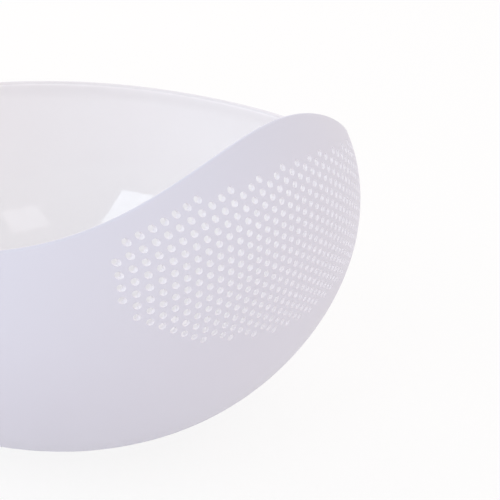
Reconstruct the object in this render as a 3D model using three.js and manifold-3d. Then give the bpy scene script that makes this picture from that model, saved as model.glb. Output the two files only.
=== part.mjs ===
// Rice colander: a round washing bowl whose wall rises on one side into a perforated drainer lip.
// Millimetres, +Z up, with the lip along +X. The origin is on the standing face, under the middle of the whole.
// The real object is one moulding, divided here at the boundaries of its zones.
import * as THREE from "three";
import { mergeGeometries, mergeVertices } from "three/addons/utils/BufferGeometryUtils.js";
import Module from "manifold-3d";

// Bowl
const BOWL_RADIUS = 118; // outside, at the widest level
const LOWER_HEIGHT = 85.5; // height of the elliptical curve below the widest level
const UPPER_HEIGHT = 90; // height of the elliptical curve above it
const WALL_THICKNESS = 1.6;
const AXIS_PLACE = 2.3; // from the origin forward to the bowl's axis

// Floor and foot
const FLOOR_RADIUS = 48; // where the lower curve is cut flat
const FLOOR_THICKNESS = 2.6;
const FOOT_HEIGHT = 5; // standing face to the underside of the floor
const FOOT_WIDTH = 4;
const FOOT_INSET = 1; // from the floor's edge in to the foot's outer face
const FOOT_CHAMFER = 0.8;

// Mouth, with heights above the standing face
const SIDE_HEIGHT = 107.8;
const BACK_HEIGHT = 110.4;
const LIP_HEIGHT = 144.2;
const LIP_HALF_WIDTH = 119; // from the lip's middle to where its flanks have run out
const RIM_BAND = 2.6;
const RIM_THICKNESS = 2.6;
const LIP_LEAN = 0.343; // outward slope that the front gains at the mouth, where it is as round as the sides

// Drainer: a staggered field of holes inside an ellipse, seen along the holes
const DRAINER_THICKNESS = 1.1;
const FIELD_DEPTH = 38.6; // from the edge at the sides down to the field's foot, taken at the widest radius
const LIP_PLAIN = 14; // from the field's top up to the lip's edge
const FLANK_PLAIN = 44.5; // from the field's ends out to where the lip's flanks have run out
const FIELD_MARGIN = 1.9; // from the outermost hole centres to the edge of the panel
const FIELD_BRIDGE = 0.6; // least wall between the panel and the rim band
const HOLE_DIAMETER = 2.4;
const HOLE_PITCH = 4; // up a column, and every other column is half a pitch higher
const COLUMN_PITCH = 3.8;
const PIN_LENGTH = 1000; // from a hole to the point that its pin tapers to
const HOLE_FALL = 5.2; // degrees by which the holes fall outwards
const MIDDLE_STRIP_COLUMNS = 13;

// Joints between zones, and the fineness of the round faces
const SEAM = 0.3;
const ROUND_STEPS = 48;
const LOWER_STEPS = 8;
const UPPER_STEPS = 4;
const EDGE_STEPS = 28;
const WINDOW_STEPS = 48;
const HOLE_SIDES = 6;

// Levels and places that follow from them
const WIDEST_LEVEL = FOOT_HEIGHT + LOWER_HEIGHT * Math.sqrt(1 - (FLOOR_RADIUS / BOWL_RADIUS) ** 2);
const FLOOR_TOP = FOOT_HEIGHT + FLOOR_THICKNESS;
const FIELD_TOP = LIP_HEIGHT - LIP_PLAIN;
const FIELD_FOOT = SIDE_HEIGHT - FIELD_DEPTH;
const FIELD_LEVEL = (FIELD_TOP + FIELD_FOOT) / 2;
const FIELD_HALF_HEIGHT = (FIELD_TOP - FIELD_FOOT) / 2;
const FIELD_HALF_WIDTH = LIP_HALF_WIDTH - FLANK_PLAIN;
const PANEL_DROP = RIM_BAND + SEAM + FIELD_BRIDGE; // from the lip's edge to the highest the panel may reach
const CLEAR_TOP = LIP_HEIGHT + RIM_BAND; // above every edge
const CLEAR_SIDE = BOWL_RADIUS + RIM_BAND; // outside every wall
const CLEAR_INSIDE = Math.sqrt(BOWL_RADIUS ** 2 - FIELD_HALF_WIDTH ** 2) / 2; // well inside the drainer

const wasm = await Module();
wasm.setup();

// A closed geometry as a solid for cutting and joining.
function solidOf(geometry) {
  const bare = new THREE.BufferGeometry();
  bare.setAttribute("position", geometry.getAttribute("position"));
  bare.setIndex(geometry.getIndex());
  const merged = mergeVertices(bare, 1e-4);
  const corners = merged.getIndex().array;
  const kept = [];
  for (let i = 0; i < corners.length; i += 3) {
    const [a, b, c] = corners.slice(i, i + 3);
    if (a !== b && b !== c && c !== a) {
      kept.push(a, b, c);
    }
  }
  const vertProperties = merged.getAttribute("position").array;
  return new wasm.Manifold(new wasm.Mesh({ numProp: 3, vertProperties, triVerts: new Uint32Array(kept) }));
}

// A solid as a three.js geometry.
function geometryOf(solid) {
  const { vertProperties, triVerts } = solid.getMesh();
  const geometry = new THREE.BufferGeometry();
  geometry.setAttribute("position", new THREE.BufferAttribute(vertProperties, 3));
  geometry.setIndex(new THREE.BufferAttribute(triVerts, 1));
  geometry.computeVertexNormals();
  return geometry;
}

// A closed profile of [radius, height] points, listed anticlockwise, turned about the vertical axis.
function turned(profile) {
  const points = profile.map(([radius, height]) => new THREE.Vector2(radius, height));
  return new THREE.LatheGeometry(points, ROUND_STEPS).rotateX(Math.PI / 2);
}

// A turned wall with its front leaned out: drawn in between the floor and the mouth, and flared above the
// mouth, most of all at the middle of the lip.
function leaned(geometry) {
  const place = geometry.getAttribute("position");
  for (let i = 0; i < place.count; i += 1) {
    const [x, y, z] = [place.getX(i), place.getY(i), place.getZ(i)];
    const rise = Math.max(z - FLOOR_TOP, 0) / (SIDE_HEIGHT - FLOOR_TOP);
    const slope = (LIP_LEAN * (z - SIDE_HEIGHT) * rise) / BOWL_RADIUS;
    const facing = x > 0 ? (x * x) / (x * x + y * y) : 0;
    const scale = 1 + slope * facing ** 2;
    place.setXY(i, x * scale, y * scale);
  }
  return geometry;
}

// An outline drawn as [across, up] points and pushed along a direction, from start to end.
function pushed(outline, across, direction, start, end) {
  const shape = new THREE.Shape(outline.map(([x, y]) => new THREE.Vector2(x, y)));
  const geometry = new THREE.ExtrudeGeometry(shape, { depth: end - start, bevelEnabled: false, steps: 1 });
  geometry.translate(0, 0, start);
  return geometry.applyMatrix4(new THREE.Matrix4().makeBasis(across, new THREE.Vector3(0, 0, 1), direction));
}

// Points of the bowl's curve, set in from its outside, from one height up to another.
function bowlCurve(inset, low, high) {
  const radius = BOWL_RADIUS - inset;
  const angleAt = (height) => {
    const reach = height < WIDEST_LEVEL ? LOWER_HEIGHT : UPPER_HEIGHT;
    return Math.asin((height - WIDEST_LEVEL) / (reach - inset));
  };
  const pointAt = (angle) => {
    const reach = angle < 0 ? LOWER_HEIGHT : UPPER_HEIGHT;
    return [radius * Math.cos(angle), WIDEST_LEVEL + (reach - inset) * Math.sin(angle)];
  };
  const points = [];
  if (low < WIDEST_LEVEL) {
    for (let i = 0; i < LOWER_STEPS; i += 1) {
      points.push(pointAt((angleAt(low) * (LOWER_STEPS - i)) / LOWER_STEPS));
    }
  }
  const first = Math.max(angleAt(low), 0);
  for (let i = 0; i <= UPPER_STEPS; i += 1) {
    points.push(pointAt(first + ((angleAt(high) - first) * i) / UPPER_STEPS));
  }
  return points;
}

// A wall all round, from the floor to the rim band.
function wallBelowBand(thickness) {
  const outside = bowlCurve(0, FOOT_HEIGHT, CLEAR_TOP);
  const inside = bowlCurve(thickness, FLOOR_TOP, CLEAR_TOP).reverse();
  const whole = solidOf(leaned(turned([...outside, ...inside, outside[0]])));
  return whole.subtract(aboveMouth(RIM_BAND + SEAM));
}

// The thicker wall that the rim band is cut from.
function rimBlank() {
  const outside = bowlCurve(0, WIDEST_LEVEL, CLEAR_TOP);
  const inside = bowlCurve(RIM_THICKNESS, WIDEST_LEVEL, CLEAR_TOP).reverse();
  return solidOf(leaned(turned([...outside, ...inside, outside[0]])));
}

// A rise that is whole at the start, eases away, and has run out at the full share.
function ease(share) {
  return Math.cos((Math.PI / 2) * Math.min(share, 1)) ** 2;
}

// The height of the lip's edge at a place across it.
function lipEdgeAt(y) {
  return SIDE_HEIGHT + (LIP_HEIGHT - SIDE_HEIGHT) * ease(Math.abs(y) / LIP_HALF_WIDTH);
}

// Everything above the mouth's edge, lowered by a drop: a bell across the lip, a gentle rise at the back.
function aboveMouth(drop) {
  const steps = Array.from({ length: EDGE_STEPS + 1 }, (_, i) => i / EDGE_STEPS);
  const lipEdge = steps.map((share) => {
    const y = CLEAR_SIDE * (2 * share - 1);
    return [y, lipEdgeAt(y) - drop];
  });
  const backEdge = steps.map((share) => {
    const x = -CLEAR_SIDE * (1 - share);
    return [x, SIDE_HEIGHT - drop + (BACK_HEIGHT - SIDE_HEIGHT) * ease(1 + x / BOWL_RADIUS)];
  });
  const closed = (edge) => [...edge, [edge[EDGE_STEPS][0], 2 * CLEAR_TOP], [edge[0][0], 2 * CLEAR_TOP]];
  const alongX = new THREE.Vector3(1, 0, 0);
  const alongY = new THREE.Vector3(0, 1, 0);
  const front = pushed(closed(lipEdge), alongY, alongX, 0, CLEAR_SIDE);
  const back = pushed(closed(backEdge), alongX, alongY.clone().negate(), -CLEAR_SIDE, CLEAR_SIDE);
  return solidOf(front).add(solidOf(back));
}

// The drainer's own frame: X out along the holes, Y across the lip, Z up the columns.
const drainerFrame = new THREE.Matrix4()
  .makeTranslation(BOWL_RADIUS, 0, FIELD_LEVEL)
  .multiply(new THREE.Matrix4().makeRotationY(THREE.MathUtils.degToRad(HOLE_FALL)));

// The window that the drainer fills, clear of the rim band and drawn in by a gap, between two places across
// the lip.
function drainerWindow(gap, left, right) {
  const reach = FIELD_HALF_WIDTH + FIELD_MARGIN - gap;
  const rise = FIELD_HALF_HEIGHT + FIELD_MARGIN - gap;
  const ellipse = new THREE.EllipseCurve(0, 0, reach, rise).getPoints(WINDOW_STEPS).slice(0, -1);
  const along = [new THREE.Vector3(0, 1, 0), new THREE.Vector3(1, 0, 0)];
  const start = CLEAR_INSIDE - BOWL_RADIUS;
  const whole = pushed(ellipse.map((point) => [point.x, point.y]), ...along, start, BOWL_RADIUS);
  const strip = [[left, -2 * rise], [right, -2 * rise], [right, 2 * rise], [left, 2 * rise]];
  const part = pushed(strip, ...along, 2 * start, 2 * BOWL_RADIUS);
  const window = solidOf(whole.applyMatrix4(drainerFrame)).subtract(aboveMouth(PANEL_DROP + gap));
  return window.intersect(solidOf(part.applyMatrix4(drainerFrame)));
}

// The hole pins of the columns from first to last, counted from the lip's middle. They taper as mould pins
// do, so slowly that a hole is the same size right through the wall.
function holePins(first, last) {
  const pins = [];
  const taper = HOLE_DIAMETER / 2 / PIN_LENGTH;
  const whole = PIN_LENGTH + CLEAR_SIDE;
  for (let column = first; column <= last; column += 1) {
    const y = column * COLUMN_PITCH;
    const reach = FIELD_HALF_HEIGHT * Math.sqrt(1 - (y / FIELD_HALF_WIDTH) ** 2);
    const stagger = Math.abs(column % 2) * (HOLE_PITCH / 2);
    const setBack = BOWL_RADIUS - Math.sqrt(BOWL_RADIUS ** 2 - y ** 2);
    const middle = FIELD_LEVEL + setBack * Math.tan(THREE.MathUtils.degToRad(HOLE_FALL));
    const room = lipEdgeAt(y) - PANEL_DROP - FIELD_MARGIN - middle;
    const below = Math.floor((reach + stagger) / HOLE_PITCH);
    const above = Math.floor((Math.min(reach, room) - stagger) / HOLE_PITCH);
    for (let row = -below; row <= above; row += 1) {
      const pin = new THREE.ConeGeometry(whole * taper, whole, HOLE_SIDES);
      pin.rotateZ(Math.PI / 2).translate(CLEAR_SIDE - whole / 2, y, row * HOLE_PITCH + stagger);
      pins.push(pin.applyMatrix4(drainerFrame));
    }
  }
  return solidOf(mergeGeometries(pins));
}

// Zones
const rimBand = rimBlank().subtract(aboveMouth(0)).intersect(aboveMouth(RIM_BAND));

const lastColumn = Math.floor(FIELD_HALF_WIDTH / COLUMN_PITCH);
const stripColumn = (MIDDLE_STRIP_COLUMNS - 1) / 2;
const stripEdge = (stripColumn + 0.5) * COLUMN_PITCH;
const bowlWall = wallBelowBand(WALL_THICKNESS).subtract(drainerWindow(0, -BOWL_RADIUS, BOWL_RADIUS));
const drainerBlank = wallBelowBand(DRAINER_THICKNESS);

// One upright strip of the drainer, with the holes of its columns.
function drainerStrip(left, right, first, last) {
  return drainerBlank.intersect(drainerWindow(SEAM, left, right)).subtract(holePins(first, last));
}
const drainerLeft = drainerStrip(-BOWL_RADIUS, -stripEdge - SEAM / 2, -lastColumn, -stripColumn - 1);
const drainerMiddle = drainerStrip(-stripEdge + SEAM / 2, stripEdge - SEAM / 2, -stripColumn, stripColumn);
const drainerRight = drainerStrip(stripEdge + SEAM / 2, BOWL_RADIUS, stripColumn + 1, lastColumn);

// The floor disc, with an edge that follows the foot of the wall.
function floorDisc() {
  const [wallFoot] = bowlCurve(WALL_THICKNESS, FLOOR_TOP, CLEAR_TOP);
  const profile = [
    [0, FOOT_HEIGHT],
    [FLOOR_RADIUS - SEAM, FOOT_HEIGHT],
    [wallFoot[0] - SEAM, FLOOR_TOP],
    [0, FLOOR_TOP],
  ];
  return solidOf(turned(profile));
}

// The standing ring under the floor's edge.
function footRing() {
  const outer = FLOOR_RADIUS - FOOT_INSET;
  const inner = outer - FOOT_WIDTH;
  const top = FOOT_HEIGHT - SEAM;
  const profile = [
    [inner + FOOT_CHAMFER, 0],
    [outer - FOOT_CHAMFER, 0],
    [outer, FOOT_CHAMFER],
    [outer, top],
    [inner, top],
    [inner, FOOT_CHAMFER],
  ];
  return solidOf(turned([...profile, profile[0]]));
}

// Finishes
const satinOutside = new THREE.MeshStandardMaterial({ color: 0xd9d9e4, roughness: 0.42, metalness: 0 });
const drainerFinish = new THREE.MeshStandardMaterial({ color: 0xdcd9e2, roughness: 0.42, metalness: 0 });
const polishedRim = new THREE.MeshStandardMaterial({ color: 0xe0e0e8, roughness: 0.3, metalness: 0 });

// A named zone, added to its group.
function addZone(group, name, solid, material) {
  const mesh = new THREE.Mesh(geometryOf(solid), material);
  mesh.name = name;
  group.add(mesh);
}

const base = new THREE.Group();
addZone(base, "foot_ring", footRing(), satinOutside);
addZone(base, "bowl_floor", floorDisc(), satinOutside);

const bowl = new THREE.Group();
addZone(bowl, "bowl_wall", bowlWall, satinOutside);
addZone(bowl, "rim_band", rimBand, polishedRim);

const drainer = new THREE.Group();
addZone(drainer, "drainer_left", drainerLeft, drainerFinish);
addZone(drainer, "drainer_middle", drainerMiddle, drainerFinish);
addZone(drainer, "drainer_right", drainerRight, drainerFinish);

const riceColander = new THREE.Group();
riceColander.add(base, bowl, drainer);
riceColander.position.x = AXIS_PLACE;

export default riceColander;
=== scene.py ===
"""A rice washing bowl with a perforated drainer lip, dressed and lit for a plain studio view."""

from __future__ import annotations

import logging
import math
from dataclasses import dataclass, field
from enum import Enum
from typing import Any, Callable

import bmesh
import bpy
import numpy as np
from mathutils import Matrix, Vector


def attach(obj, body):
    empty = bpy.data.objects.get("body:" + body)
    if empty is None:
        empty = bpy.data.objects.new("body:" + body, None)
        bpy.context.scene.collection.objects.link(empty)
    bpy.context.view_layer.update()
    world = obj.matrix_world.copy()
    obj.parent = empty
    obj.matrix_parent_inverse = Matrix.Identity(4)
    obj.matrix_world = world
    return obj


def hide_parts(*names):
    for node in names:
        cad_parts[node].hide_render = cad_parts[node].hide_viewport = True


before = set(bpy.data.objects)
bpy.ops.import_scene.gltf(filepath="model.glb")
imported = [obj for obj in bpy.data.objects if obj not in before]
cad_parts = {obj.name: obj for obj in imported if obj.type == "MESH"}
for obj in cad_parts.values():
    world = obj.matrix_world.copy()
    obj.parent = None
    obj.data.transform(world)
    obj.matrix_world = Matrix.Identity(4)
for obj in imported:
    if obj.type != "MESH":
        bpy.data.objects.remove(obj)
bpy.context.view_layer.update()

log = logging.getLogger("rice_colander")

MM = 0.001
BODY = "root"
ROUND_STEPS = 240
SMALL_STEP = 1e-4
CREASE_ANGLE = math.radians(50)
SHOWN_RAYS = ("Is Camera Ray", "Is Glossy Ray", "Is Transmission Ray")
Colour = tuple[float, float, float]
Direction = tuple[float, float, float]
Surface = Callable[[np.ndarray, np.ndarray], np.ndarray]


class Side(Enum):
    """Which face of the wall a polygon lies on. The value is its material slot."""

    OUTSIDE = 0
    INSIDE = 1
    BORE = 2


class Socket:
    """An output socket that takes part in Python expressions, each adding a Math node."""

    def __init__(self, graph: Graph, socket: bpy.types.NodeSocket) -> None:
        """Wraps a socket of a graph."""
        self.graph = graph
        self.socket = socket

    def maths(self, operation: str, first: Any, second: Any = None) -> Socket:
        """Adds one Math node.

        Args:
            operation: The Math node's operation.
            first: The first value or socket.
            second: The second value or socket, where the operation has one.

        Returns:
            The node's value.
        """
        inputs = {0: first} if second is None else {0: first, 1: second}
        return self.graph.node("ShaderNodeMath", {"operation": operation}, inputs)

    def __add__(self, other: Any) -> Socket:
        """This plus other."""
        return self.maths("ADD", self, other)

    def __radd__(self, other: Any) -> Socket:
        """Other plus this."""
        return self.maths("ADD", other, self)

    def __sub__(self, other: Any) -> Socket:
        """This less other."""
        return self.maths("SUBTRACT", self, other)

    def __rsub__(self, other: Any) -> Socket:
        """Other less this."""
        return self.maths("SUBTRACT", other, self)

    def __mul__(self, other: Any) -> Socket:
        """This times other."""
        return self.maths("MULTIPLY", self, other)

    def __rmul__(self, other: Any) -> Socket:
        """Other times this."""
        return self.maths("MULTIPLY", other, self)

    def __truediv__(self, other: Any) -> Socket:
        """This over other."""
        return self.maths("DIVIDE", self, other)

    def __rtruediv__(self, other: Any) -> Socket:
        """Other over this."""
        return self.maths("DIVIDE", other, self)

    def __mod__(self, other: Any) -> Socket:
        """The remainder of this over other."""
        return self.maths("MODULO", self, other)

    def __abs__(self) -> Socket:
        """This without its sign."""
        return self.maths("ABSOLUTE", self)

    def __floor__(self) -> Socket:
        """This rounded down."""
        return self.maths("FLOOR", self)

    def __gt__(self, other: Any) -> Socket:
        """One where this is above other, and zero elsewhere."""
        return self.maths("GREATER_THAN", self, other)


class Graph:
    """A node tree that is filled through one method."""

    def __init__(self, tree: bpy.types.NodeTree) -> None:
        """Wraps a node tree."""
        self.tree = tree

    def add(self, kind: str, settings: dict[str, Any], inputs: dict[Any, Any]) -> bpy.types.Node:
        """Adds a node.

        Args:
            kind: The node's type.
            settings: Attributes of the node, set before its sockets.
            inputs: Values or links of its sockets, by name or by index. A list holds several links.

        Returns:
            The node.
        """
        node = self.tree.nodes.new(kind)
        for name, value in settings.items():
            setattr(node, name, value)
        for key, value in inputs.items():
            if isinstance(value, Socket):
                value = [value]
            if isinstance(value, list):
                for link in value:
                    self.tree.links.new(link.socket, node.inputs[key])
            else:
                node.inputs[key].default_value = value
        return node

    def node(self, kind: str, settings: dict[str, Any], inputs: dict[Any, Any], output: Any = 0) -> Socket:
        """Adds a node and gives one of its outputs, by name or by index."""
        return Socket(self, self.add(kind, settings, inputs).outputs[output])


@dataclass(frozen=True)
class PlasticFinish:
    """A moulded plastic surface: its colour, gloss and the faint unevenness of the mould. Some surfaces are
    copies of one plastic whose lighter colours are painted light.
    """

    name: str
    colour: Colour
    cloud: Colour
    roughness: float
    roughness_spread: float
    grain_size: float
    grain_height: float
    ripple_height: float
    coat: float
    coat_roughness: float = 0.03
    refraction: float = 1.49
    flow_scale: float = 14.0
    flow_detail: float = 2.0
    grain_detail: float = 3.0
    ripple_scale: float = 32.0
    ripple_detail: float = 0.0

    def material(self) -> bpy.types.Material:
        """The finish's material, shared by all the pieces that wear it."""
        return bpy.data.materials.get(self.name) or self.build()

    def noise(self, graph: Graph, place: Socket, scale: float, detail: float) -> Socket:
        """A value from zero to one that drifts over the surface."""
        inputs = {"Vector": place, "Scale": scale, "Detail": detail}
        return graph.node("ShaderNodeTexNoise", {}, inputs, "Fac")

    def build(self) -> bpy.types.Material:
        """Builds the finish's material.

        Returns:
            The material.
        """
        made = bpy.data.materials.new(self.name)
        made.use_nodes = True
        made.node_tree.nodes.clear()
        graph = Graph(made.node_tree)
        place = graph.node("ShaderNodeTexCoord", {}, {}, "Object")
        flow = self.noise(graph, place, self.flow_scale, self.flow_detail)
        grain = self.noise(graph, place, 1 / self.grain_size, self.grain_detail)
        ripple = self.noise(graph, place, self.ripple_scale, self.ripple_detail)
        tint = graph.node(
            "ShaderNodeMix",
            {"data_type": "RGBA"},
            {"Factor": flow, "A": (*self.cloud, 1.0), "B": (*self.colour, 1.0)},
            "Result",
        )
        gloss = self.roughness + self.roughness_spread * (grain - 0.5)
        relief = grain * self.grain_height + ripple * self.ripple_height
        normal = graph.node("ShaderNodeBump", {}, {"Strength": 1.0, "Distance": 1.0, "Height": relief})
        surface = graph.node(
            "ShaderNodeBsdfPrincipled",
            {},
            {
                "Base Color": tint,
                "Roughness": gloss,
                "Normal": normal,
                "IOR": self.refraction,
                "Coat Weight": self.coat,
                "Coat Roughness": self.coat_roughness,
            },
        )
        graph.add("ShaderNodeOutputMaterial", {}, {"Surface": surface})
        return made


SATIN_OUTSIDE = PlasticFinish(
    name="satin_outside",
    colour=(0.68, 0.69, 0.785),
    cloud=(0.675, 0.673, 0.76),
    roughness=0.46,
    roughness_spread=0.10,
    grain_size=0.9 * MM,
    grain_height=0.010 * MM,
    ripple_height=0.02 * MM,
    coat=0.0,
)
# The inside is the same milky plastic as the outside, painted much lighter. This is painted light for the
# light that comes through the thin wall and fills the bowl; its gloss is real.
POLISHED_INSIDE_PAINTED_LIGHT = PlasticFinish(
    name="polished_inside_painted_light",
    colour=(0.955, 0.957, 0.972),
    cloud=(0.95, 0.934, 0.952),
    roughness=0.05,
    roughness_spread=0.03,
    grain_size=2.2 * MM,
    grain_height=0.001 * MM,
    ripple_height=0.02 * MM,
    coat=0.6,
)
# The bores are the same plastic as the outside, painted lighter. This is painted light, so that the holes
# read bright.
MOULDED_BORE_PAINTED_LIGHT = PlasticFinish(
    name="moulded_bore_painted_light",
    colour=(0.885, 0.885, 0.93),
    cloud=(0.87, 0.865, 0.905),
    roughness=0.40,
    roughness_spread=0.08,
    grain_size=0.8 * MM,
    grain_height=0.004 * MM,
    ripple_height=0.0,
    coat=0.0,
)
# The rim's crown is the same plastic in a mid tone between the outside's and the inside's. This is painted
# light and shade, set for how light from above falls on the crown.
POLISHED_RIM_PAINTED_LIGHT = PlasticFinish(
    name="polished_rim_painted_light",
    colour=(0.815, 0.80, 0.825),
    cloud=(0.80, 0.78, 0.805),
    roughness=0.30,
    roughness_spread=0.08,
    grain_size=1.2 * MM,
    grain_height=0.006 * MM,
    ripple_height=0.02 * MM,
    coat=0.0,
)


@dataclass(frozen=True)
class DrainField:
    """The ellipse that the drain holes fill, seen along the holes, in metres."""

    half_width: float = 74.5 * MM
    half_height: float = 30.5 * MM
    margin: float = 1.9 * MM
    level: float = 99.7 * MM
    reach: float = 118 * MM
    fall: float = math.radians(5.2)
    border: float = 0.1

    def share(self, points: np.ndarray) -> np.ndarray:
        """How far points are inside the field's panel.

        Args:
            points: Points measured from the bowl's axis.

        Returns:
            Zero at the panel's edge and outside it, rising smoothly to one within its border.
        """
        out = points[..., 0] - self.reach
        rise = out * math.sin(self.fall) + (points[..., 2] - self.level) * math.cos(self.fall)
        wide = points[..., 1] / (self.half_width + self.margin)
        tall = rise / (self.half_height + self.margin)
        depth = np.clip((1 - np.hypot(wide, tall)) / self.border, 0, 1)
        return np.where(points[..., 0] > 0, depth * depth * (3 - 2 * depth), 0)


@dataclass(frozen=True)
class Moulding:
    """The sizes of the moulding, in metres, and the curved surfaces that follow from them.

    A point of the wall is named by its turn, the angle about the bowl's axis from the middle of the lip, and
    its tilt, the angle on the wall's elliptical profile from the widest level.
    """

    axis: float = 2.3 * MM
    radius: float = 118 * MM
    lower_height: float = 85.5 * MM
    upper_height: float = 90 * MM
    wall: float = 1.6 * MM
    drainer_wall: float = 1.1 * MM
    floor_radius: float = 48 * MM
    floor_thickness: float = 2.6 * MM
    foot_height: float = 5 * MM
    side_height: float = 107.8 * MM
    back_height: float = 110.4 * MM
    lip_height: float = 144.2 * MM
    lip_half_width: float = 119 * MM
    lip_lean: float = 0.343
    lip_focus: int = 4
    rim_band: float = 2.6 * MM
    rim_wall: float = 2.6 * MM
    rim_swell: float = 8 * MM
    edge_rounds: int = 12
    drain: DrainField = DrainField()

    @property
    def foot_tilt(self) -> float:
        """The tilt at which the wall's outside meets the floor."""
        return -math.acos(self.floor_radius / self.radius)

    @property
    def widest_level(self) -> float:
        """The height at which the wall is widest."""
        return self.foot_height - self.lower_height * math.sin(self.foot_tilt)

    @property
    def floor_top(self) -> float:
        """The height of the floor's upper face."""
        return self.foot_height + self.floor_thickness

    def turns(self) -> np.ndarray:
        """The turns of the columns of the mesh."""
        return np.arange(ROUND_STEPS) * (2 * math.pi / ROUND_STEPS)

    def lean(self, turn: np.ndarray, height: np.ndarray) -> np.ndarray:
        """The share by which the wall stands out from a bowl of revolution.

        Args:
            turn: Angles about the axis.
            height: Heights above the standing face.

        Returns:
            The factor on the radius.
        """
        rise = np.maximum(height - self.floor_top, 0) / (self.side_height - self.floor_top)
        slope = self.lip_lean * (height - self.side_height) * rise / self.radius
        return 1 + slope * np.maximum(np.cos(turn), 0) ** self.lip_focus

    def tilt_at(self, height: np.ndarray) -> np.ndarray:
        """The tilt of the outside at a height.

        Args:
            height: Heights above the standing face.

        Returns:
            The tilts.
        """
        above = height - self.widest_level
        reach = np.where(above < 0, self.lower_height, self.upper_height)
        return np.arcsin(np.clip(above / reach, -1, 1))

    def profile(self, turn: np.ndarray, tilt: np.ndarray) -> np.ndarray:
        """The outside in the upright half plane of each turn.

        Args:
            turn: Angles about the axis.
            tilt: Angles on the profile.

        Returns:
            Radius and height, in the last axis.
        """
        reach = np.where(tilt < 0, self.lower_height, self.upper_height)
        height = self.widest_level + reach * np.sin(tilt)
        radius = self.radius * np.cos(tilt) * self.lean(turn, height)
        return np.stack([radius, height], -1)

    def square(self, turn: np.ndarray, tilt: np.ndarray) -> tuple[np.ndarray, np.ndarray]:
        """The directions along and out of the profile.

        Args:
            turn: Angles about the axis.
            tilt: Angles on the profile.

        Returns:
            The unit vector up the profile and the unit vector out of it, as radius and height.
        """
        along = self.profile(turn, tilt + SMALL_STEP) - self.profile(turn, tilt - SMALL_STEP)
        along = along / np.linalg.norm(along, axis=-1, keepdims=True)
        out = np.stack([along[..., 1], -along[..., 0]], -1)
        return along, out

    def edge(self, turn: np.ndarray) -> np.ndarray:
        """The height of the mouth's edge: a bell across the lip and a gentle rise at the back.

        Args:
            turn: Angles about the axis.

        Returns:
            The heights.
        """
        rise = self.lip_height - self.side_height
        join = self.radius * math.cos(float(self.tilt_at(np.array(self.side_height))))
        start = self.side_height + rise * math.cos(math.pi / 2 * min(join / self.lip_half_width, 1)) ** 2
        height = np.full_like(turn, self.side_height)
        for _ in range(self.edge_rounds):
            radius = self.profile(turn, self.tilt_at(height))[..., 0]
            across = np.minimum(np.abs(radius * np.sin(turn)) / self.lip_half_width, 1)
            behind = np.clip(-radius * np.cos(turn) / self.radius, 0, 1)
            front = self.side_height + rise * np.cos(math.pi / 2 * across) ** 2
            back = start + (self.back_height - start) * np.sin(math.pi / 2 * behind) ** 2
            height = np.where(np.cos(turn) > 0, front, back)
        return height

    def thickness(self, turn: np.ndarray, tilt: np.ndarray) -> np.ndarray:
        """The wall's thickness, which swells to the rim's below the edge and is less in the drainer.

        Args:
            turn: Angles about the axis.
            tilt: Angles on the profile.

        Returns:
            The thicknesses.
        """
        section = self.profile(turn, tilt)
        share = np.clip(1 - (self.edge(turn) - section[..., 1]) / self.rim_swell, 0, 1)
        swell = (self.rim_wall - self.wall) * share * share * (3 - 2 * share)
        points = self.place(turn, section) - np.array([self.axis, 0, 0])
        return self.wall + swell - (self.wall - self.drainer_wall) * self.drain.share(points)

    def place(self, turn: np.ndarray, section: np.ndarray) -> np.ndarray:
        """Sets points of the upright half planes in space.

        Args:
            turn: Angles about the axis.
            section: Radius and height, in the last axis.

        Returns:
            The points, with x, y and z in the last axis.
        """
        radius = section[..., 0]
        x = self.axis + radius * np.cos(turn)
        return np.stack([x, radius * np.sin(turn), section[..., 1]], -1)

    def outside(self, turn: np.ndarray, tilt: np.ndarray) -> np.ndarray:
        """Points on the outside of the wall.

        Args:
            turn: Angles about the axis.
            tilt: Angles on the profile.

        Returns:
            The points.
        """
        return self.place(turn, self.profile(turn, tilt))

    def inside_section(self, turn: np.ndarray, tilt: np.ndarray) -> np.ndarray:
        """The inside in the upright half planes, square in from the outside.

        Args:
            turn: Angles about the axis.
            tilt: Angles on the outside's profile.

        Returns:
            Radius and height, in the last axis.
        """
        _, out = self.square(turn, tilt)
        return self.profile(turn, tilt) - out * self.thickness(turn, tilt)[..., None]

    def inside(self, turn: np.ndarray, tilt: np.ndarray) -> np.ndarray:
        """Points on the inside of the wall.

        Args:
            turn: Angles about the axis.
            tilt: Angles on the outside's profile.

        Returns:
            The points.
        """
        return self.place(turn, self.inside_section(turn, tilt))

    def band_tilt(self, turn: np.ndarray) -> np.ndarray:
        """The tilt of the rim's lower border.

        Args:
            turn: Angles about the axis.

        Returns:
            The tilts.
        """
        return self.tilt_at(self.edge(turn) - self.rim_band)

    def normal(self, surface: Surface, turn: np.ndarray, tilt: np.ndarray) -> np.ndarray:
        """Unit vectors out of a surface.

        Args:
            surface: The outside or the inside.
            turn: Angles about the axis.
            tilt: Angles on the profile.

        Returns:
            The vectors, away from the axis.
        """
        round_bowl = surface(turn + SMALL_STEP, tilt) - surface(turn - SMALL_STEP, tilt)
        up_wall = surface(turn, tilt + SMALL_STEP) - surface(turn, tilt - SMALL_STEP)
        out = np.cross(round_bowl, up_wall)
        return out / np.linalg.norm(out, axis=-1, keepdims=True)


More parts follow.
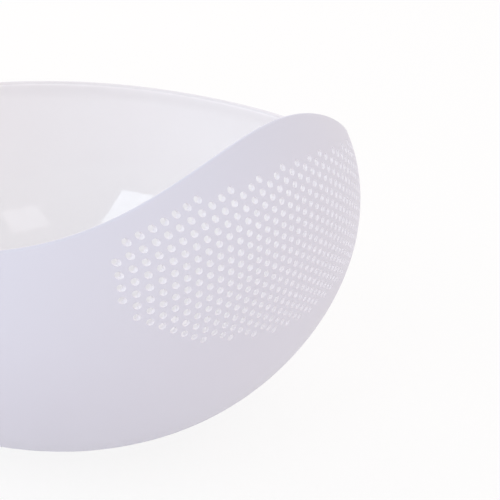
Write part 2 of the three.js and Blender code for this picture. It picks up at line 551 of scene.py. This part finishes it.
def mesh_of_rings(
    name: str, rings: np.ndarray, poles: list[Vector], looped: bool, triangles: bool = False
) -> bpy.types.Mesh:
    """Joins rings of points into a closed mesh.

    Args:
        name: The mesh's name.
        rings: The points, by ring, by column, and by x, y and z.
        poles: A centre for the first ring and one for the last, or none.
        looped: Whether the last ring joins the first.
        triangles: Whether the faces are split into flat triangles, for cutting.

    Returns:
        The mesh, with its faces outwards.
    """
    count, steps, _ = rings.shape
    form = bmesh.new()
    grid = [[form.verts.new(point) for point in ring] for ring in rings]
    for row in range(count if looped else count - 1):
        low, high = grid[row], grid[(row + 1) % count]
        for step in range(steps):
            after = (step + 1) % steps
            form.faces.new((low[step], low[after], high[after], high[step]))
    for pole, ring in zip(poles, (grid[0], grid[-1])):
        centre = form.verts.new(pole)
        for step in range(steps):
            form.faces.new((centre, ring[step], ring[(step + 1) % steps]))
    bmesh.ops.recalc_face_normals(form, faces=form.faces)
    if triangles:
        bmesh.ops.triangulate(form, faces=form.faces)
    mesh = bpy.data.meshes.new(name)
    form.to_mesh(mesh)
    form.free()
    return mesh


def piece_of(name: str, mesh: bpy.types.Mesh) -> bpy.types.Object:
    """Links a mesh to the scene as an object at the origin.

    Args:
        name: The object's name.
        mesh: Its mesh.

    Returns:
        The object.
    """
    piece = bpy.data.objects.new(name, mesh)
    bpy.context.scene.collection.objects.link(piece)
    return piece


def values_of(items: Any, name: str, width: int = 1, kind: type = float) -> np.ndarray:
    """Reads one property of all the parts of a mesh.

    Args:
        items: The mesh's polygons, corners or points.
        name: The property.
        width: How many numbers the property has.
        kind: The type of the numbers.

    Returns:
        The numbers, with a row for each part where the property has several.
    """
    values = np.empty(len(items) * width, dtype=kind)
    items.foreach_get(name, values)
    return values.reshape(-1, width) if width > 1 else values


@dataclass
class WallDresser:
    """Gives the polygons of a cut wall their finishes, all but the outside's painted lighter as painted
    light, and the true normals of the curved surfaces.
    """

    moulding: Moulding
    finishes: tuple[PlasticFinish, PlasticFinish, PlasticFinish]
    floor_clear: float = 3 * MM
    tilt_rounds: int = 6
    tilt_step: float = 1e-3
    outer_facing: float = 0.85
    inner_facing: float = 0.85

    def tilts_inside(self, turn: np.ndarray, height: np.ndarray) -> np.ndarray:
        """The tilts at which the inside has given heights.

        Args:
            turn: Angles about the axis.
            height: Heights above the standing face.

        Returns:
            The tilts.
        """
        tilt = self.moulding.tilt_at(height)
        for _ in range(self.tilt_rounds):
            miss = self.moulding.inside_section(turn, tilt)[..., 1] - height
            ahead = self.moulding.inside_section(turn, tilt + self.tilt_step)[..., 1] - height
            tilt = tilt - miss * self.tilt_step / (ahead - miss)
        return tilt

    def normals_at(self, points: np.ndarray) -> tuple[np.ndarray, np.ndarray]:
        """The normals of both faces of the wall beside some points.

        Args:
            points: Points in space.

        Returns:
            The outside's normals and the inside's, each out of the plastic.
        """
        turn = np.arctan2(points[:, 1], points[:, 0] - self.moulding.axis)
        outer_tilt = self.moulding.tilt_at(points[:, 2])
        inner_tilt = self.tilts_inside(turn, points[:, 2])
        outer = self.moulding.normal(self.moulding.outside, turn, outer_tilt)
        inner = -self.moulding.normal(self.moulding.inside, turn, inner_tilt)
        return outer, inner

    def sides_of(self, mesh: bpy.types.Mesh) -> np.ndarray:
        """Sorts the polygons of a mesh by the face of the wall that they lie on.

        Args:
            mesh: The mesh.

        Returns:
            The value of each polygon's Side.
        """
        facing = values_of(mesh.polygons, "normal", 3)
        outer, inner = self.normals_at(values_of(mesh.polygons, "center", 3))
        sides = np.full(len(facing), Side.BORE.value)
        sides[(outer * facing).sum(1) > self.outer_facing] = Side.OUTSIDE.value
        sides[(inner * facing).sum(1) > self.inner_facing] = Side.INSIDE.value
        return sides

    def finish(self, mesh: bpy.types.Mesh) -> np.ndarray:
        """Sets a mesh's materials, with smooth shading.

        Args:
            mesh: The mesh, changed in place.

        Returns:
            The value of each polygon's Side.
        """
        mesh.materials.clear()
        for finish in self.finishes:
            mesh.materials.append(finish.material())
        sides = self.sides_of(mesh)
        mesh.polygons.foreach_set("material_index", sides)
        mesh.polygons.foreach_set("use_smooth", np.ones(len(mesh.polygons), dtype=bool))
        return sides

    def dress(self, mesh: bpy.types.Mesh) -> None:
        """Sets a mesh's materials and normals.

        Args:
            mesh: The mesh, changed in place.
        """
        sides = self.finish(mesh)
        points = values_of(mesh.vertices, "co", 3)
        outer, inner = self.normals_at(points)
        corners = values_of(mesh.loops, "vertex_index", kind=np.int32)
        corner_side = np.repeat(sides, values_of(mesh.polygons, "loop_total", kind=np.int32))
        clear = points[corners][:, 2] > self.moulding.floor_top + self.floor_clear
        out = corner_side == Side.OUTSIDE.value
        within = (corner_side == Side.INSIDE.value) & clear
        normals = np.zeros((len(corners), 3))
        normals[out] = outer[corners][out]
        normals[within] = inner[corners][within]
        self.crease(mesh, corner_side)
        mesh.normals_split_custom_set(normals)

    def crease(self, mesh: bpy.types.Mesh, corner_side: np.ndarray) -> None:
        """Marks the edges where two faces of the wall meet as sharp.

        Args:
            mesh: The mesh, changed in place.
            corner_side: The value of the Side of each corner's polygon.
        """
        edges = values_of(mesh.loops, "edge_index", kind=np.int32)
        least = np.full(len(mesh.edges), len(Side))
        most = np.full(len(mesh.edges), -1)
        np.minimum.at(least, edges, corner_side)
        np.maximum.at(most, edges, corner_side)
        mesh.edges.foreach_set("use_edge_sharp", least != most)


@dataclass
class StandingRing:
    """The low ring under the floor that the bowl stands on."""

    moulding: Moulding
    inset: float = 1 * MM
    width: float = 4 * MM
    rounding: float = 0.9 * MM
    flare_share: float = 0.3
    corner_steps: int = 5

    def build(self) -> bpy.types.Object:
        """Makes the ring, with rounded lower edges and a small flare into the floor.

        Returns:
            The piece.
        """
        outer = self.moulding.floor_radius - self.inset
        inner = outer - self.width
        top = self.moulding.foot_height
        flare = self.flare_share * self.rounding
        corner = np.linspace(0, math.pi / 2, self.corner_steps)
        section = [(inner - self.rounding, top), (inner - flare, top - flare), (inner, top - self.rounding)]
        section += [
            (inner + self.rounding * (1 - math.cos(angle)), self.rounding * (1 - math.sin(angle)))
            for angle in corner
        ]
        section += [
            (outer - self.rounding * (1 - math.sin(angle)), self.rounding * (1 - math.cos(angle)))
            for angle in corner
        ]
        section += [(outer, top - self.rounding), (outer + flare, top - flare), (outer + self.rounding, top)]
        turn = self.moulding.turns()
        shape = (len(turn), 2)
        rings = [self.moulding.place(turn, np.broadcast_to(np.array(point), shape)) for point in section]
        return piece_of("standing_ring", mesh_of_rings("standing_ring", np.stack(rings), [], True))

    def dress(self, piece: bpy.types.Object) -> None:
        """Gives the ring its finish and rides it on the body.

        Args:
            piece: The ring.
        """
        mesh = piece.data
        mesh.materials.append(SATIN_OUTSIDE.material())
        mesh.polygons.foreach_set("use_smooth", np.ones(len(mesh.polygons), dtype=bool))
        mesh.set_sharp_from_angle(angle=CREASE_ANGLE)
        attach(piece, BODY)
        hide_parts("foot_ring")


@dataclass
class RimBead:
    """The thickened, rounded edge that runs round the mouth and over the lip."""

    moulding: Moulding
    wall_steps: int = 4
    bead_steps: int = 12
    crown_rounds: int = 4
    outer_facing: float = 0.2

    def build(self) -> bpy.types.Object:
        """Makes the bead: up the outside, over a half round, and down the inside.

        Returns:
            The piece.
        """
        moulding = self.moulding
        turn = moulding.turns()
        edge = moulding.edge(turn)
        half = moulding.rim_wall / 2
        top = moulding.tilt_at(edge - half)
        for _ in range(self.crown_rounds):
            _, out = moulding.square(turn, top)
            top = moulding.tilt_at(edge - half * (1 - out[..., 1]))
        band = moulding.band_tilt(turn)
        shares = np.linspace(0, 1, self.wall_steps)
        rings = [moulding.outside(turn, band + (top - band) * share) for share in shares]
        along, out = moulding.square(turn, top)
        crown = moulding.thickness(turn, top)[..., None] / 2
        centre = moulding.profile(turn, top) - out * crown
        for angle in np.linspace(0, math.pi, self.bead_steps + 1)[1:-1]:
            section = centre + crown * (out * math.cos(angle) + along * math.sin(angle))
            rings.append(moulding.place(turn, section))
        rings += [moulding.inside(turn, band + (top - band) * share) for share in shares[::-1]]
        return piece_of("rim_bead", mesh_of_rings("rim_bead", np.stack(rings), [], True))

    def dress(self, piece: bpy.types.Object) -> None:
        """Gives the bead its finishes, the inside and crown ones painted lighter than the outside as painted
        light, and rides it on the body.

        Args:
            piece: The bead.
        """
        mesh = piece.data
        # The inside and crown finishes are lighter copies of the outside's plastic: painted light.
        finishes = (SATIN_OUTSIDE, POLISHED_INSIDE_PAINTED_LIGHT, POLISHED_RIM_PAINTED_LIGHT)
        WallDresser(self.moulding, finishes, outer_facing=self.outer_facing).finish(mesh)
        mesh.set_sharp_from_angle(angle=CREASE_ANGLE)
        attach(piece, BODY)
        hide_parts("rim_band")


@dataclass
class DrainHoles:
    """The field of drain holes: its lattice, its outline and the window of the panel that carries it."""

    moulding: Moulding
    column_pitch: float = 3.8 * MM
    hole_pitch: float = 4 * MM
    hole_diameter: float = 2.4 * MM
    columns: int = 39
    rows: int = 17
    hole_sides: int = 16
    window_sides: int = 160
    depth: float = 80 * MM
    centre: float = -20 * MM

    def sizes(self) -> dict[str, tuple[str, Any]]:
        """Lists the named inputs of the trees.

        Returns:
            The socket type and the value of each input, by its name.
        """
        length = "NodeSocketFloat"
        drain = self.moulding.drain
        return {
            "Half Width": (length, drain.half_width),
            "Half Height": (length, drain.half_height),
            "Margin": (length, drain.margin),
            "Column Pitch": (length, self.column_pitch),
            "Hole Pitch": (length, self.hole_pitch),
            "Hole Diameter": (length, self.hole_diameter),
            "Fall": (length, drain.fall),
            "Depth": (length, self.depth),
            "Columns": ("NodeSocketInt", self.columns),
            "Rows": ("NodeSocketInt", self.rows),
        }

    def seat(self, graph: Graph, part: Socket, named: dict[str, Socket]) -> Socket:
        """Sets a form drawn about the field's middle into its place on the lip.

        Args:
            graph: The tree.
            part: The form, with X along the holes.
            named: The tree's inputs.

        Returns:
            The form in its place.
        """
        turned = graph.node("ShaderNodeCombineXYZ", {}, {"Y": named["Fall"]})
        shift = (self.centre, 0, 0)
        along = graph.node("GeometryNodeTransform", {}, {"Geometry": part, "Translation": shift})
        drain = self.moulding.drain
        middle = (self.moulding.axis + drain.reach, 0, drain.level)
        return graph.node(
            "GeometryNodeTransform", {}, {"Geometry": along, "Rotation": turned, "Translation": middle}
        )

    def window(self, graph: Graph, named: dict[str, Socket]) -> Socket:
        """The elliptical prism that parts the panel from the bowl.

        Args:
            graph: The tree.
            named: The tree's inputs.

        Returns:
            The prism.
        """
        drum = graph.node(
            "GeometryNodeMeshCylinder", {}, {"Vertices": self.window_sides, "Radius": 1.0, "Depth": 1.0}
        )
        stretch = graph.node(
            "ShaderNodeCombineXYZ",
            {},
            {
                "X": named["Half Height"] + named["Margin"],
                "Y": named["Half Width"] + named["Margin"],
                "Z": named["Depth"],
            },
        )
        prism = graph.node("GeometryNodeTransform", {}, {"Geometry": drum, "Scale": stretch})
        laid = graph.node("GeometryNodeTransform", {}, {"Geometry": prism, "Rotation": (0, math.pi / 2, 0)})
        return self.seat(graph, laid, named)

    def pins(self, graph: Graph, named: dict[str, Socket]) -> Socket:
        """The pins that make the holes: a staggered lattice inside the ellipse.

        Args:
            graph: The tree.
            named: The tree's inputs.

        Returns:
            The pins.
        """
        columns = named["Columns"]
        rows = named["Rows"]
        index = graph.node("GeometryNodeInputIndex", {}, {})
        column = index % columns - (columns - 1) / 2
        row = math.floor(index / columns) - (rows - 1) / 2
        across = column * named["Column Pitch"]
        rise = (row + abs(column % 2) / 2) * named["Hole Pitch"]
        wide = across / named["Half Width"]
        tall = rise / named["Half Height"]
        beyond = (wide * wide + tall * tall) > 1.0
        spot = graph.node("ShaderNodeCombineXYZ", {}, {"Y": across, "Z": rise})
        cloud = graph.node("GeometryNodePoints", {}, {"Count": columns * rows, "Position": spot})
        far = {"Geometry": cloud, "Selection": beyond}
        field_points = graph.node("GeometryNodeDeleteGeometry", {"domain": "POINT"}, far)
        pin = graph.node(
            "GeometryNodeMeshCylinder",
            {},
            {
                "Vertices": self.hole_sides,
                "Radius": named["Hole Diameter"] / 2,
                "Depth": named["Depth"],
            },
        )
        laid = graph.node("GeometryNodeTransform", {}, {"Geometry": pin, "Rotation": (0, math.pi / 2, 0)})
        set_out = graph.node("GeometryNodeInstanceOnPoints", {}, {"Points": field_points, "Instance": laid})
        single = graph.node("GeometryNodeRealizeInstances", {}, {"Geometry": set_out})
        return self.seat(graph, single, named)

    def tree(self, name: str, panel: bool) -> bpy.types.NodeTree:
        """Builds the tree that makes the perforated panel, or the bowl with the panel's window.

        Args:
            name: The tree's name.
            panel: Whether the panel is kept, and not the bowl round it.

        Returns:
            The tree.
        """
        tree = bpy.data.node_groups.new(name, "GeometryNodeTree")
        tree.interface.new_socket(name="Geometry", in_out="INPUT", socket_type="NodeSocketGeometry")
        for label, (kind, _) in self.sizes().items():
            tree.interface.new_socket(name=label, in_out="INPUT", socket_type=kind)
        tree.interface.new_socket(name="Finish", in_out="INPUT", socket_type="NodeSocketMaterial")
        tree.interface.new_socket(name="Geometry", in_out="OUTPUT", socket_type="NodeSocketGeometry")
        graph = Graph(tree)
        given = graph.add("NodeGroupInput", {}, {}).outputs
        shell = Socket(graph, given["Geometry"])
        named = {label: Socket(graph, given[label]) for label in self.sizes()}
        finish = Socket(graph, given["Finish"])
        window = self.window(graph, named)
        kind = "GeometryNodeMeshBoolean"
        less = {"operation": "DIFFERENCE", "solver": "MANIFOLD"}
        shared = {"operation": "INTERSECT", "solver": "MANIFOLD"}
        if panel:
            blank = graph.node(kind, shared, {"Mesh 2": [shell, window]})
            kept = graph.node(kind, less, {"Mesh 1": blank, "Mesh 2": self.pins(graph, named)})
        else:
            kept = graph.node(kind, less, {"Mesh 1": shell, "Mesh 2": window})
        single = graph.node("GeometryNodeRealizeInstances", {}, {"Geometry": kept})
        dressed = graph.node("GeometryNodeSetMaterial", {}, {"Geometry": single, "Material": finish})
        graph.add("NodeGroupOutput", {}, {"Geometry": dressed})
        return tree

    def cut(self, shell: bpy.types.Mesh, name: str, panel: bool) -> bpy.types.Object:
        """Cuts a piece from the whole shell.

        Args:
            shell: The shell's mesh.
            name: The piece's name.
            panel: Whether the piece is the perforated panel, and not the bowl round it.

        Returns:
            The piece, as a plain mesh.
        """
        piece = piece_of(name, shell.copy())
        modifier = piece.modifiers.new(name, "NODES")
        modifier.node_group = self.tree(name, panel)
        values = {label: value for label, (_, value) in self.sizes().items()}
        values["Finish"] = SATIN_OUTSIDE.material()
        for item in modifier.node_group.interface.items_tree:
            if item.in_out == "INPUT" and item.name in values:
                modifier[item.identifier] = values[item.name]
        graph = bpy.context.evaluated_depsgraph_get()
        made = bpy.data.meshes.new_from_object(piece.evaluated_get(graph))
        made.name = name
        piece.modifiers.remove(modifier)
        piece.data = made
        return piece


@dataclass
class BowlShell:
    """The floor and the curved wall, from the axis out to the rim bead, with the perforated lip."""

    moulding: Moulding
    outside_steps: int = 60
    inside_steps: int = 56
    floor_rings: tuple[float, ...] = (12 * MM, 24 * MM, 36 * MM)
    cove_start: float = 43 * MM
    cove_rise: float = 1.8 * MM
    cove_steps: int = 6
    landing_rounds: int = 8

    def blank(self) -> bpy.types.Mesh:
        """Makes the whole shell below the rim bead, without its holes.

        Returns:
            The mesh.
        """
        moulding = self.moulding
        turn = moulding.turns()
        band = moulding.band_tilt(turn)
        top = moulding.floor_top
        foot = np.full_like(turn, moulding.foot_tilt)
        for _ in range(self.landing_rounds):
            miss = moulding.inside_section(turn, foot)[..., 1] - (top + self.cove_rise)
            foot = foot - miss / moulding.lower_height
        landing = moulding.inside_section(turn, foot)
        along, _ = moulding.square(turn, foot)
        corner = landing - along * ((landing[..., 1] - top) / along[..., 1])[..., None]
        start = np.broadcast_to(np.array([self.cove_start, top]), corner.shape)
        sections = [np.broadcast_to(np.array([ring, top]), corner.shape) for ring in self.floor_rings]
        for share in np.linspace(0, 1, self.cove_steps + 1)[:-1]:
            rest = 1 - share
            sections.append(start * rest * rest + corner * 2 * share * rest + landing * share * share)
        rings = [moulding.place(turn, section) for section in sections]
        for share in np.linspace(0, 1, self.inside_steps):
            rings.append(moulding.inside(turn, foot + (band - foot) * share))
        base = moulding.foot_tilt
        for share in np.linspace(1, 0, self.outside_steps):
            rings.append(moulding.outside(turn, base + (band - base) * share))
        for ring in self.floor_rings[::-1]:
            section = np.broadcast_to(np.array([ring, moulding.foot_height]), corner.shape)
            rings.append(moulding.place(turn, section))
        poles = [Vector((moulding.axis, 0, top)), Vector((moulding.axis, 0, moulding.foot_height))]
        return mesh_of_rings("shell_blank", np.stack(rings), poles, False, True)

    def build(self, holes: DrainHoles) -> tuple[bpy.types.Object, bpy.types.Object]:
        """Makes the bowl and the drainer panel that fills its window.

        Args:
            holes: The field of drain holes.

        Returns:
            The bowl and the panel.
        """
        shell = self.blank()
        bowl = holes.cut(shell, "bowl_shell", False)
        panel = holes.cut(shell, "drainer_panel", True)
        bpy.data.meshes.remove(shell)
        return bowl, panel

    def dress(self, bowl: bpy.types.Object, panel: bpy.types.Object) -> None:
        """Gives both pieces their finishes, the inside and bore ones painted lighter than the outside as
        painted light, and rides them on the body.

        Args:
            bowl: The bowl.
            panel: The drainer panel.
        """
        # The inside and bore finishes are lighter copies of the outside's plastic: painted light.
        dresser = WallDresser(self.moulding, (SATIN_OUTSIDE, POLISHED_INSIDE_PAINTED_LIGHT, MOULDED_BORE_PAINTED_LIGHT))
        dresser.dress(bowl.data)
        dresser.dress(panel.data)
        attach(bowl, BODY)
        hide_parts("bowl_wall", "bowl_floor")
        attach(panel, BODY)
        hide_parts("drainer_left", "drainer_middle", "drainer_right")


@dataclass(frozen=True)
class SoftBox:
    """A rectangular lamp that faces the bowl, with angles in degrees and lengths in metres."""

    name: str
    azimuth: float
    elevation: float
    distance: float
    width: float
    height: float
    radiance: float
    colour: Colour
    mirrored: bool = True

    def place(self, target: Vector) -> None:
        """Sets the lamp up.

        Args:
            target: The point that it faces.
        """
        lamp = bpy.data.lights.new(self.name, "AREA")
        lamp.shape = "RECTANGLE"
        lamp.size = self.width
        lamp.size_y = self.height
        lamp.energy = self.radiance * math.pi * self.width * self.height
        lamp.color = self.colour
        holder = bpy.data.objects.new(self.name, lamp)
        holder.visible_glossy = self.mirrored
        bpy.context.scene.collection.objects.link(holder)
        around = math.radians(self.azimuth)
        above = math.radians(self.elevation)
        flat = math.cos(above)
        toward = Vector((flat * math.cos(around), flat * math.sin(around), math.sin(above)))
        holder.location = target + toward * self.distance
        holder.rotation_euler = toward.to_track_quat("Z", "Y").to_euler()


@dataclass
class Studio:
    """The white surroundings, the lamps and the camera, with angles in degrees."""

    floor_half: float = 4.0
    floor_colour: Colour = (0.955, 0.925, 0.905)
    floor_glow: float = 0.86
    cool_sky: Colour = (0.91, 0.935, 1.02)
    warm_sky: Colour = (1.15, 1.05, 0.97)
    warm_way: Direction = (0.5, 0.87, 0.0)
    horizon_strength: float = 1.18
    zenith_strength: float = 0.64
    horizon_rise: float = 0.2
    zenith_rise: float = 0.85
    target: Vector = field(default_factory=lambda: Vector((0.0, 0.0, 0.08)))
    camera_place: Vector = field(default_factory=lambda: Vector((330.59, -343.30, 258.97)) * MM)
    camera_azimuth: float = 125.0
    camera_pitch: float = -21.733
    camera_roll: float = 3.2145
    lens: float = 88.904
    sensor_width: float = 36.0
    near_limit: float = 0.01
    soft_boxes: tuple[SoftBox, ...] = (
        SoftBox("soft_box_right", -14.0, 53.1, 1.3, 0.345, 0.36, 0.85, (0.99, 0.97, 1.0)),
        SoftBox("soft_box_left", -79.0, 46.0, 1.3, 0.345, 0.64, 2.4, (0.80, 0.93, 1.0)),
        SoftBox("side_light", -128.0, 22.0, 1.4, 0.9, 0.6, 1.5, (1.0, 1.0, 0.97), mirrored=False),
        SoftBox("back_light", 134.0, 40.0, 1.4, 1.2, 0.9, 0.95, (1.0, 0.88, 0.92)),
    )

    def seen(self, graph: Graph) -> Socket:
        """One for the rays that show the surroundings, and zero for those that light the bowl.

        Args:
            graph: The tree.

        Returns:
            The mask.
        """
        paths = graph.add("ShaderNodeLightPath", {}, {}).outputs
        camera, glossy, through = (Socket(graph, paths[name]) for name in SHOWN_RAYS)
        return camera.maths("MAXIMUM", camera.maths("MAXIMUM", camera, glossy), through)

    def surroundings(self) -> None:
        """Makes the world: white where it is seen, with a soft light that is warmer on one side."""
        world = bpy.data.worlds.new("white_room")
        bpy.context.scene.world = world
        world.use_nodes = True
        world.node_tree.nodes.clear()
        graph = Graph(world.node_tree)
        way = graph.node("ShaderNodeTexCoord", {}, {}, "Object")
        rise = graph.node("ShaderNodeSeparateXYZ", {}, {"Vector": way}, "Z")
        strength = graph.node(
            "ShaderNodeMapRange",
            {"interpolation_type": "SMOOTHSTEP"},
            {
                "Value": rise,
                "From Min": self.horizon_rise,
                "From Max": self.zenith_rise,
                "To Min": self.horizon_strength,
                "To Max": self.zenith_strength,
            },
        )
        sides = {0: way, 1: self.warm_way}
        warmth = graph.node("ShaderNodeVectorMath", {"operation": "DOT_PRODUCT"}, sides, "Value")
        hue = graph.node(
            "ShaderNodeMix",
            {"data_type": "RGBA"},
            {"Factor": (warmth + 1) / 2, "A": (*self.cool_sky, 1.0), "B": (*self.warm_sky, 1.0)},
            "Result",
        )
        light = graph.node("ShaderNodeBackground", {}, {"Color": hue, "Strength": strength})
        white = graph.node("ShaderNodeBackground", {}, {"Color": (1.0, 1.0, 1.0, 1.0), "Strength": 1.0})
        both = graph.node("ShaderNodeMixShader", {}, {0: self.seen(graph), 1: light, 2: white})
        graph.add("ShaderNodeOutputWorld", {}, {"Surface": both})

    def floor(self) -> None:
        """Makes the pale floor, which stays white where it is seen and keeps the bowl's shadow."""
        half = self.floor_half
        mesh = bpy.data.meshes.new("floor")
        corners = [(-half, -half, 0), (half, -half, 0), (half, half, 0), (-half, half, 0)]
        mesh.from_pydata(corners, [], [(0, 1, 2, 3)])
        material = bpy.data.materials.new("pale_floor")
        material.use_nodes = True
        material.node_tree.nodes.clear()
        graph = Graph(material.node_tree)
        matt = graph.node("ShaderNodeBsdfDiffuse", {}, {"Color": (*self.floor_colour, 1.0)})
        white = graph.node("ShaderNodeEmission", {}, {"Color": (1.0, 1.0, 1.0, 1.0), "Strength": 1.0})
        share = self.seen(graph) * self.floor_glow
        both = graph.node("ShaderNodeMixShader", {}, {0: share, 1: matt, 2: white})
        graph.add("ShaderNodeOutputMaterial", {}, {"Surface": both})
        mesh.materials.append(material)
        piece_of("floor", mesh)

    def camera(self) -> None:
        """Sets the camera at the photograph's viewing angle."""
        lens = bpy.data.cameras.new("camera")
        lens.sensor_width = self.sensor_width
        lens.lens = self.lens
        lens.clip_start = self.near_limit
        holder = bpy.data.objects.new("camera", lens)
        bpy.context.scene.collection.objects.link(holder)
        around = math.radians(self.camera_azimuth)
        above = math.radians(self.camera_pitch)
        flat = math.cos(above)
        ahead = Vector((flat * math.cos(around), flat * math.sin(around), math.sin(above)))
        right = ahead.cross(Vector((0, 0, 1))).normalized()
        up = right.cross(ahead)
        level = Matrix((right, up, -ahead)).transposed()
        roll = Matrix.Rotation(math.radians(self.camera_roll), 3, "Z")
        holder.matrix_world = Matrix.Translation(self.camera_place) @ (level @ roll).to_4x4()
        bpy.context.scene.camera = holder

    def build(self) -> None:
        """Sets up the surroundings, the floor, the lamps and the camera."""
        bpy.context.scene.view_settings.view_transform = "Standard"
        self.surroundings()
        self.floor()
        for soft_box in self.soft_boxes:
            soft_box.place(self.target)
        self.camera()


def main() -> None:
    """Builds the studio and the bowl's pieces in order, and reports each."""
    logging.basicConfig(level=logging.INFO, format="%(message)s")
    Studio().build()
    moulding = Moulding()
    ring = StandingRing(moulding)
    ring_piece = ring.build()
    ring.dress(ring_piece)
    bead = RimBead(moulding)
    bead_piece = bead.build()
    bead.dress(bead_piece)
    shell = BowlShell(moulding)
    bowl_piece, panel_piece = shell.build(DrainHoles(moulding))
    shell.dress(bowl_piece, panel_piece)
    for piece in (ring_piece, bead_piece, bowl_piece, panel_piece):
        log.info("%s: %d polygons", piece.name, len(piece.data.polygons))


if __name__ == "__main__":
    main()
